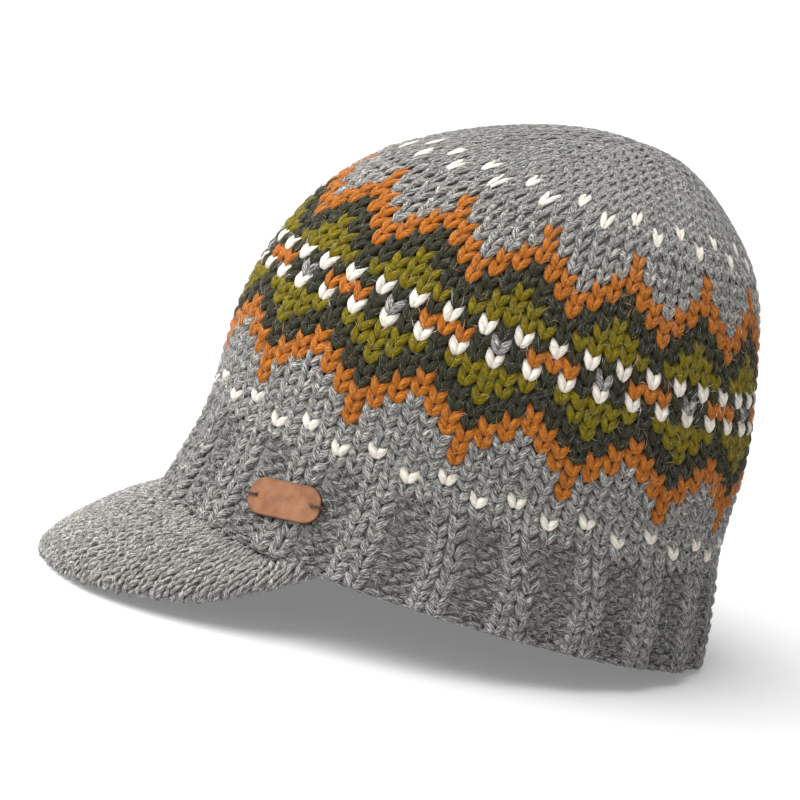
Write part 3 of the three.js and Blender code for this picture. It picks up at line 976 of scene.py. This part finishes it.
def make_brim_backing():
    columns, rows = BRIM_BACKING_SHAPE
    column = np.linspace(0, BRIM_COLUMNS, columns)
    below, above = (brim_root(column, b)[:, None] for b in (BRIM_BELOW, BRIM_ABOVE))
    reach = below + (above - below) * np.linspace(BRIM_BACKING_MARGIN, 1 - BRIM_BACKING_MARGIN, rows)
    column = column[:, None] + 0 * reach
    points = brim_place(column, reach, np.full_like(reach, -BRIM_BACKING_DEPTH))
    yarn = np.stack([reach, column * BRIM_COLUMN_MM, 0 * reach], -1)
    grid_piece("brim_backing", points, yarn, BACKING)


# The leather label

LABEL_LENGTH, LABEL_HEIGHT, LABEL_THICKNESS, LABEL_CORNER = 28.5, 14, 1.6, 6
LABEL_TURN, LABEL_ALONG, LABEL_TILT = math.radians(35.3), 20.5, math.radians(12)
LABEL_SEAT = RIB_DEPTH / 2 * RIB_FRONT_SHARE + SEAM_GAP
HOLE_INSET, HOLE_WIDTH, HOLE_DEPTH = 3.6, 0.75, 0.5
LABEL_COLUMNS, LABEL_ROWS, LABEL_BEVEL = 80, 28, 0.35
# The leather is darker at its edge and at its holes, fading between these distances from them
DARKER_EDGE_FADE, DARKER_HOLE_FADE = (-0.1, 0.9), (0.3, 1.0)


def label_place(right, up, outward):
    along = LABEL_ALONG + up * math.cos(LABEL_TILT) + right * math.sin(LABEL_TILT)
    sideways = right * math.cos(LABEL_TILT) - up * math.sin(LABEL_TILT)
    scale = SIDE.read("scale", LABEL_ALONG)
    speed = scale * math.hypot(HALF_WIDTH * math.cos(LABEL_TURN), HALF_LENGTH * math.sin(LABEL_TURN))
    return to_frame(skin_point(along, LABEL_TURN + sideways / speed, LABEL_SEAT + outward))


def make_leather():
    n = Nodes("tan leather")
    place = n.yarn()
    cloud = n.noise(n.scaled(place, 0.22, 0.22, 0.22), 4)
    cells = {"Vector": n.scaled(place, 2.2, 2.2, 2.2), "Scale": 1.0}
    grain = n.add("TexVoronoi", cells, "Distance", feature="DISTANCE_TO_EDGE")
    pores = n.noise(n.scaled(place, 4.5, 4.5, 4.5), 3, 0.7)
    colour = n.ramp(cloud, stops((0.3, 116, 71, 40), (0.5, 135, 87, 53), (0.72, 151, 103, 67)))
    # Darker at the label's edge and round its holes
    darkening = n.ramp(n.parts(place)[2], shades((0, 0.42, 0.34, 0.3), (0.5, 0.7, 0.62, 0.58), (1, 1, 1, 1)))
    speck = n.ramp(pores, shades((0.3, 0.8, 0.8, 0.8), (0.55, 1, 1, 1)))
    for shade in (darkening, speck):
        colour = n.mix(1.0, colour, shade, "MULTIPLY")
    height = n.math("MULTIPLY_ADD", n.math("MINIMUM", grain, 0.25), 1.6, pores)
    return n.finish({
        "Base Color": colour,
        "Normal": n.bump(height, 0.35, 0.12),
        "Roughness": n.math("MULTIPLY_ADD", pores, 0.25, 0.42),
        "Specular IOR Level": 0.45,
    })


def make_label():
    half = LABEL_LENGTH / 2
    right = -half * np.cos(np.linspace(0, math.pi, LABEL_COLUMNS + 2)[1:-1])
    past = np.clip(np.abs(right) - (half - LABEL_CORNER), 0, None)
    tall = LABEL_HEIGHT / 2 - LABEL_CORNER + np.sqrt(LABEL_CORNER ** 2 - past ** 2)
    front = np.sin(np.linspace(-1, 1, LABEL_ROWS) * math.pi / 2)
    up = np.concatenate([np.outer(tall, front), np.outer(tall, front[::-1])], 1)
    across = np.repeat(right[:, None], 2 * LABEL_ROWS, 1)
    inset = np.minimum(tall[:, None] - np.abs(up), half - np.abs(across)).clip(0, None)
    rounded = np.sqrt(1 - (1 - np.clip(inset / LABEL_BEVEL, 0, 1)) ** 2)
    lift = LABEL_THICKNESS - LABEL_BEVEL + LABEL_BEVEL * rounded
    darkening = smoothstep(inset, *DARKER_EDGE_FADE)
    for side in (-1, 1):
        far = np.hypot(across - side * (half - HOLE_INSET), up)
        lift -= HOLE_DEPTH * np.exp(-(far / HOLE_WIDTH) ** 2)
        darkening = np.minimum(darkening, smoothstep(far, *DARKER_HOLE_FADE))
    in_front = np.arange(2 * LABEL_ROWS) < LABEL_ROWS
    points = label_place(across, up, lift * in_front)
    yarn = np.stack([across, up, darkening * in_front], -1)
    grid_piece("leather_label", points, yarn, make_leather(), ["label"])


# The two thread stitches, each of two strands twisted together

THREAD_RADIUS, THREAD_OVERRUN, THREAD_LAY = 0.55, 1.2, 2.6
THREAD_RINGS, THREAD_SIDES = 44, 8
# Each strand's radius and its swing round the thread's middle, as shares of the thread's radius, and
# how much of that swing it has along the label
STRAND_SHARE, SWING_SHARE, SWING_FLATTER = 0.62, 0.5, 0.25
# The steps between two points of a thread's path, and how far apart its strands' numbers are
PATH_STEPS, STRAND_APART = 24, 9


def make_thread_finish():
    n = Nodes("dark brown thread")
    fibre = n.noise(n.scaled(n.yarn(), 1.4, 5.0, 1.0), 3)
    return n.finish({
        "Base Color": n.ramp(fibre, stops((0.3, 34, 14, 12), (0.7, 86, 50, 38))),
        "Normal": n.bump(fibre, 0.6, 0.15),
        "Roughness": 0.7,
        "Sheen Weight": 0.2,
    })


def smooth_path(points, count):
    """Even steps along a curve through the points, and its length."""
    points = np.array(points, float)
    padded = np.concatenate([[2 * points[0] - points[1]], points, [2 * points[-1] - points[-2]]])
    t = np.linspace(0, 1, PATH_STEPS, endpoint=False)[:, None]
    dense = []
    for a, b, c, d in zip(padded, padded[1:], padded[2:], padded[3:]):
        square, cube = 2 * a - 5 * b + 4 * c - d, 3 * b - a - 3 * c + d
        dense.append(0.5 * (2 * b + (c - a) * t + square * t ** 2 + cube * t ** 3))
    dense = np.concatenate([*dense, points[[-1]]])
    along = run_along(dense)
    return read_line(np.linspace(0, along[-1], count), along, dense), along[-1]


def thread_path():
    """From a hole in the label, over the label's end and down to the knitting: right, up and out."""
    half = LABEL_LENGTH / 2
    over = LABEL_THICKNESS + SEAM_GAP + THREAD_RADIUS
    end = half + SEAM_GAP + THREAD_RADIUS
    return smooth_path([
        (half - HOLE_INSET, 0, LABEL_THICKNESS - 0.3),
        (half - HOLE_INSET + 0.5, 0, over - 0.2),
        (half - HOLE_INSET / 2, 0, over + 0.1),
        (half - 0.2, 0, over),
        (end + 0.3, 0, over - 0.5),
        (end + THREAD_OVERRUN * 0.8, 0, LABEL_THICKNESS / 2),
        (end + THREAD_OVERRUN, 0, -0.3),
    ], THREAD_RINGS)


def make_threads():
    finish = make_thread_finish()
    path, length = thread_path()
    along = np.linspace(0, length, THREAD_RINGS)
    swing = THREAD_RADIUS * SWING_SHARE
    inner = slice(1, -1)
    for end, side in (("front", -1), ("back", 1)):
        batches = []
        for strand in range(2):
            turn = along / THREAD_LAY * TAU + strand * math.pi
            right = side * (path[:, 0] + SWING_FLATTER * swing * np.cos(turn))
            line = label_place(right, path[:, 1] + swing * np.sin(turn), path[:, 2] + swing * np.cos(turn))
            ahead = unit(np.gradient(line, axis=0))
            rings = rings_round(line[inner], ahead[inner], THREAD_RADIUS * STRAND_SHARE * MM, THREAD_SIDES)
            points = np.concatenate([rings.reshape(-1, 3), line[[0]], line[[-1]]])
            number = strand * STRAND_APART
            ring = np.repeat(along[inner], THREAD_SIDES)
            round_it = np.tile(np.arange(THREAD_SIDES) / THREAD_SIDES, THREAD_RINGS - 2)
            marks = np.stack([ring, round_it, 0 * ring + number], -1)
            marks = np.concatenate([marks, [[0, 0, number]], [[length, 0, number]]])
            batches.append((Tubes(THREAD_RINGS - 2, THREAD_SIDES), points[None], marks[None]))
        join_tubes("thread_" + end, batches, finish, ["label_stitch_" + end])


# Loose fibres that stand out of the wool: how many on each yarn of the crown, and their colours

FUZZ = {
    "grey": (5000, (120, 120, 118), (225, 224, 220)),
    "orange": (1400, (180, 96, 30), (232, 160, 84)),
    "olive": (1000, (110, 106, 22), (176, 172, 70)),
    "charcoal": (1500, (44, 44, 34), (112, 111, 94)),
    "white": (400, (225, 220, 210), (252, 250, 246)),
}
# How many there are on the band, and again on the brim, and from where on the brim to where
FUZZ_ELSEWHERE, FUZZ_BRIM = 2200, (-12, 50)
FUZZ_RADIUS, FUZZ_LENGTH, FUZZ_LIFT, FUZZ_SINK, FUZZ_BEND = (0.05, 0.1), (2.5, 8.0), 0.5, 0.2, 0.45
# A fibre's rise as a share of the lift, and its climbs to its middle and to its end as shares of the rise
FUZZ_RISE, FUZZ_CLIMB, FUZZ_END = (0.3, 1.6), 1.5, (-0.4, 0.8)
# Those on the brim are shorter and lie lower, by this share
FUZZ_BRIM_SHARE = 0.7
FIBRE_SIDES = 3
FIBRE_TUBES = Tubes(1, FIBRE_SIDES)


def fibre_finish(name, dark, light):
    n = Nodes(name)
    tone = n.chance(n.parts(n.yarn())[2])
    colour = n.ramp(tone, stops((0, *dark), (1, *light)))
    return n.finish({"Base Color": colour, "Roughness": 0.8, "Sheen Weight": 0.5})


def fuzz_batch(place, column, row, column_scale, length, thickness, lift):
    """Thin curved fibres. column_scale is how much of place's own measure round is one millimetre."""
    count = len(column)
    heading = rng.uniform(0, TAU, count)
    bend = rng.normal(0, FUZZ_BEND, count)
    rise = lift * rng.uniform(*FUZZ_RISE, count)
    right, up, out = np.zeros(count), np.zeros(count), np.full(count, -FUZZ_SINK)
    lines = []
    for climb in (FUZZ_CLIMB * rise, rise * rng.uniform(*FUZZ_END, count), 0):
        lines.append(place(column + right * column_scale, row + up, out))
        right = right + length / 2 * np.cos(heading)
        up = up + length / 2 * np.sin(heading)
        out = out + climb
        heading = heading + bend
    start, middle, end = lines
    ring = rings_round(middle, unit(end - start), thickness * MM, FIBRE_SIDES)
    marks = np.zeros((count, FIBRE_TUBES.count, 3))
    marks[..., 2] = rng.uniform(0, STRAND_NUMBERS, (count, 1))
    return FIBRE_TUBES, np.concatenate([ring, start[:, None], end[:, None]], 1), marks


def cap_fuzz(share, along):
    """Fibres at places on the cap, and the length and thickness of each."""
    length, thickness = (rng.uniform(*sizes, len(share)) for sizes in (FUZZ_LENGTH, FUZZ_RADIUS))
    batch = fuzz_batch(cap_place, share, along, 1 / OVAL_ROUND, length, thickness, FUZZ_LIFT)
    return batch, length, thickness


def make_fuzz():
    for yarn, (count, dark, light) in FUZZ.items():
        crown = crown_part(yarn)
        pick = rng.integers(0, len(crown["row"]), count)
        share = crown["column"][pick] + rng.uniform(-0.5, 0.5, count) * crown["column_width"][pick]
        along = crown["row"][pick] + rng.uniform(-0.5, 0.5, count) * crown["row_height"][pick]
        batches = [cap_fuzz(share, along)[0]]
        if yarn == "grey":
            count = FUZZ_ELSEWHERE
            share, along = rng.uniform(0, 1, count), rng.uniform(RIM_MARGIN, BAND_HEIGHT, count)
            batch, length, thickness = cap_fuzz(share, along)
            batches.append(batch)
            column, reach = rng.uniform(1, BRIM_COLUMNS - 1, count), rng.uniform(*FUZZ_BRIM, count)
            reach = np.minimum(reach, brim_root(column, BRIM_ABOVE) - BRIM_ROOT_MARGIN)
            batches.append(fuzz_batch(brim_place, column, reach, 1 / BRIM_COLUMN_MM, length * FUZZ_BRIM_SHARE,
                                      thickness, FUZZ_LIFT * FUZZ_BRIM_SHARE))
        finish = fibre_finish("loose fibres, " + yarn, dark, light)
        join_tubes("loose_fibres_" + yarn, batches, finish)


# Short fibres that lie on the strands: how far along each and aside of its middle, as shares, and
# their length; and how much more loosely than the strands they lie
LAID_FIBRES = [(0.3, -0.55, 2.6), (0.5, 0.25, 3.6), (0.7, -0.2, 3.0), (0.62, 0.8, 2.6)]
LAID_RADIUS, LAID_LIFT, LAID_LOOSE = 0.085, 0.12, 3.5
LAID_COLOURS = {
    "grey": ((54, 54, 52), (226, 224, 219)),
    "orange": ((128, 62, 12), (222, 146, 70)),
    "olive": ((80, 74, 10), (166, 158, 58)),
    "charcoal": ((24, 24, 16), (98, 97, 78)),
    "white": ((206, 200, 188), (248, 245, 240)),
    # The fibres on the ribs and in their grooves are the grey fibres painted darker, as shade
    "ribs": ((56, 56, 54), (212, 210, 205)),
    "grooves": ((40, 40, 39), (172, 170, 166)),
}
# On the felted top there are more and thicker ones, and they lie higher and every way
FELTED_LAYERS, FELTED_RADIUS, FELTED_LIFT, FELTED_LOOSE = 5, 0.2, 0.2, 7
FELTED_COLOURS = (58, 58, 56), (196, 194, 190)


def laid_fibre(share, aside, length, radius=LAID_RADIUS):
    """One short fibre that lies along a stitch's leg, as a strand: a ring round its middle, and two tips."""
    rows = np.stack(list(LEG.columns.values()), -1)
    along = run_along(rows[:, :3])
    at = along[-1] * share + np.array([-0.5, 0, 0.5]) * length
    right, up, out, wide, deep = read_line(at, along, rows).T
    ahead = unit(np.array([right[2] - right[0], up[2] - up[0]]))
    across = np.array([ahead[1], -ahead[0], 0])
    line = np.stack([right, up, out + deep * math.sqrt(1 - aside ** 2) + LAID_LIFT], -1)
    line += across * (wide * aside)[:, None]
    ring = line[1] + radius * spokes(across, np.array([0, 0, 1]), FIBRE_SIDES)
    return np.concatenate([ring, line[[0]], line[[2]]]), np.zeros((FIBRE_SIDES + 2, 3))


def laid_on_legs(radius=LAID_RADIUS, loose=LAID_LOOSE, **how):
    """The short fibres on both legs of each stitch."""
    return [
        (FIBRE_TUBES, *strands(laid_fibre(*fibre, radius), mirror=mirror, loose=loose, **how))
        for fibre in LAID_FIBRES
        for mirror in (False, True)
    ]


def laid_on_brim():
    stitches = brim_stitches()
    above = stitches[:, stitches[1] >= 0]
    return [
        (FIBRE_TUBES, *brim_strands(laid_fibre(*fibre), mirror, LAID_LOOSE, *above))
        for mirror in (False, True)
        for fibre in LAID_FIBRES
    ]


def make_felt():
    """The matted fibres that hide the stitches of the top."""
    top = crown_part("grey", "top")
    top["sink"] -= FELTED_LIFT
    batches = []
    for _ in range(FELTED_LAYERS):
        slant = rng.uniform(0, TAU, len(top["row"]))
        batches += laid_on_legs(FELTED_RADIUS, FELTED_LOOSE, slant=slant, **top)
    join_tubes("felted_fibres_top", batches, fibre_finish("felted fibres", *FELTED_COLOURS))


def make_laid_fibres():
    for name, colours in LAID_COLOURS.items():
        if name == "grey":
            make_felt()
            batches = laid_on_legs(**crown_part(name, "side")) + laid_on_brim()
        elif name in ("ribs", "grooves"):
            batches = laid_on_legs(**band_part(name == "ribs"))
        else:
            batches = laid_on_legs(**crown_part(name))
        join_tubes("laid_fibres_" + name, batches, fibre_finish("laid fibres, " + name, *colours))


# The photograph's camera, fitted to the upright cap and then leaned back with it

CAMERA_AZIMUTH, CAMERA_ELEVATION, CAMERA_ROLL = (math.radians(a) for a in (66, 6.0, 20.3))
CAMERA_DISTANCE = 1100
CAMERA_TARGET = np.array([0, 0, 90.0])
# Where the target is seen in the photograph, and the photograph's width, in pixels
TARGET_SEEN = np.array([511.0, 349.0])
PICTURE = 800
FOCAL_PIXELS = 2.66 * CAMERA_DISTANCE
SENSOR = 36


def make_camera():
    back = toward(CAMERA_AZIMUTH, CAMERA_ELEVATION)
    level = np.array([math.cos(CAMERA_AZIMUTH), math.sin(CAMERA_AZIMUTH), 0])
    upright = np.cross(back, level)
    right = level * math.cos(CAMERA_ROLL) + upright * math.sin(CAMERA_ROLL)
    up = upright * math.cos(CAMERA_ROLL) - level * math.sin(CAMERA_ROLL)
    off = (PICTURE / 2 - TARGET_SEEN) / FOCAL_PIXELS
    forward = unit(-back + right * off[0] - up * off[1])
    right = unit(right - forward * (right @ forward))
    up = np.cross(right, forward)
    position = lean_back(CAMERA_TARGET + back * CAMERA_DISTANCE) * MM + SHIFT
    axes = lean_back([right, up, -forward])
    data = bpy.data.cameras.new("camera")
    data.sensor_width = SENSOR
    data.lens = FOCAL_PIXELS / PICTURE * SENSOR
    data.clip_end = 100
    camera = add_object("camera", data)
    camera.matrix_world = Matrix([*np.column_stack([axes.T, position]).tolist(), [0, 0, 0, 1]])
    bpy.context.scene.camera = camera


# Floor, light and background

FLOOR_SIZE, FLOOR_BASE, FLOOR_GLOW = 40, 0.52, 0.2


def make_floor():
    mesh = bpy.data.meshes.new("floor")
    corners = [(x * FLOOR_SIZE, y * FLOOR_SIZE, 0) for x, y in ((-1, -1), (1, -1), (1, 1), (-1, 1))]
    mesh.from_pydata(corners, [], [(0, 1, 2, 3)])
    mesh.materials.append(Nodes("pale floor").finish({
        "Base Color": (FLOOR_BASE, FLOOR_BASE, FLOOR_BASE, 1),
        "Emission Color": (1, 1, 1, 1),
        "Emission Strength": FLOOR_GLOW,
        "Roughness": 0.9,
        "Specular IOR Level": 0.1,
    }))
    floor = add_object("floor", mesh)


# Each lamp's direction from the cap, its width as an angle, and its strength
LAMPS = [
    ("key", -12, 60, 70, 5.3),
    ("fill", 35, 25, 60, 0.75),
    ("top", 220, 65, 60, 0.5),
]
# How bright the studio is: white round the horizon, softer overhead
HORIZON_LIGHT, HORIZON_TO = 1.05, 0.09
OVERHEAD_LIGHT, OVERHEAD_FROM = 0.25, 0.2


def make_lights():
    for name, azimuth, elevation, width, strength in LAMPS:
        direction = Vector(toward(math.radians(azimuth), math.radians(elevation)))
        data = bpy.data.lights.new(name, "SUN")
        data.angle = math.radians(width)
        data.energy = strength
        lamp = add_object(name, data)
        lamp.location = direction * 2
        lamp.rotation_euler = direction.to_track_quat("Z", "Y").to_euler()


def make_studio():
    n = Nodes("studio", bpy.data.worlds)
    height = n.parts(n.add("TexCoord", {}, "Generated"))[2]
    light = n.add("MapRange", {
        "Value": height,
        "From Min": HORIZON_TO,
        "From Max": OVERHEAD_FROM,
        "To Min": HORIZON_LIGHT,
        "To Max": OVERHEAD_LIGHT,
    })
    bpy.context.scene.world = n.finish({"Color": (1, 1, 1, 1), "Strength": light}, "Background")
    bpy.context.scene.view_settings.view_transform = "Standard"


make_camera()
make_floor()
make_lights()
make_studio()
make_crown()
make_band()
make_cast_on()
make_backing()
make_brim()
make_brim_backing()
make_label()
make_threads()
make_fuzz()
make_laid_fibres()
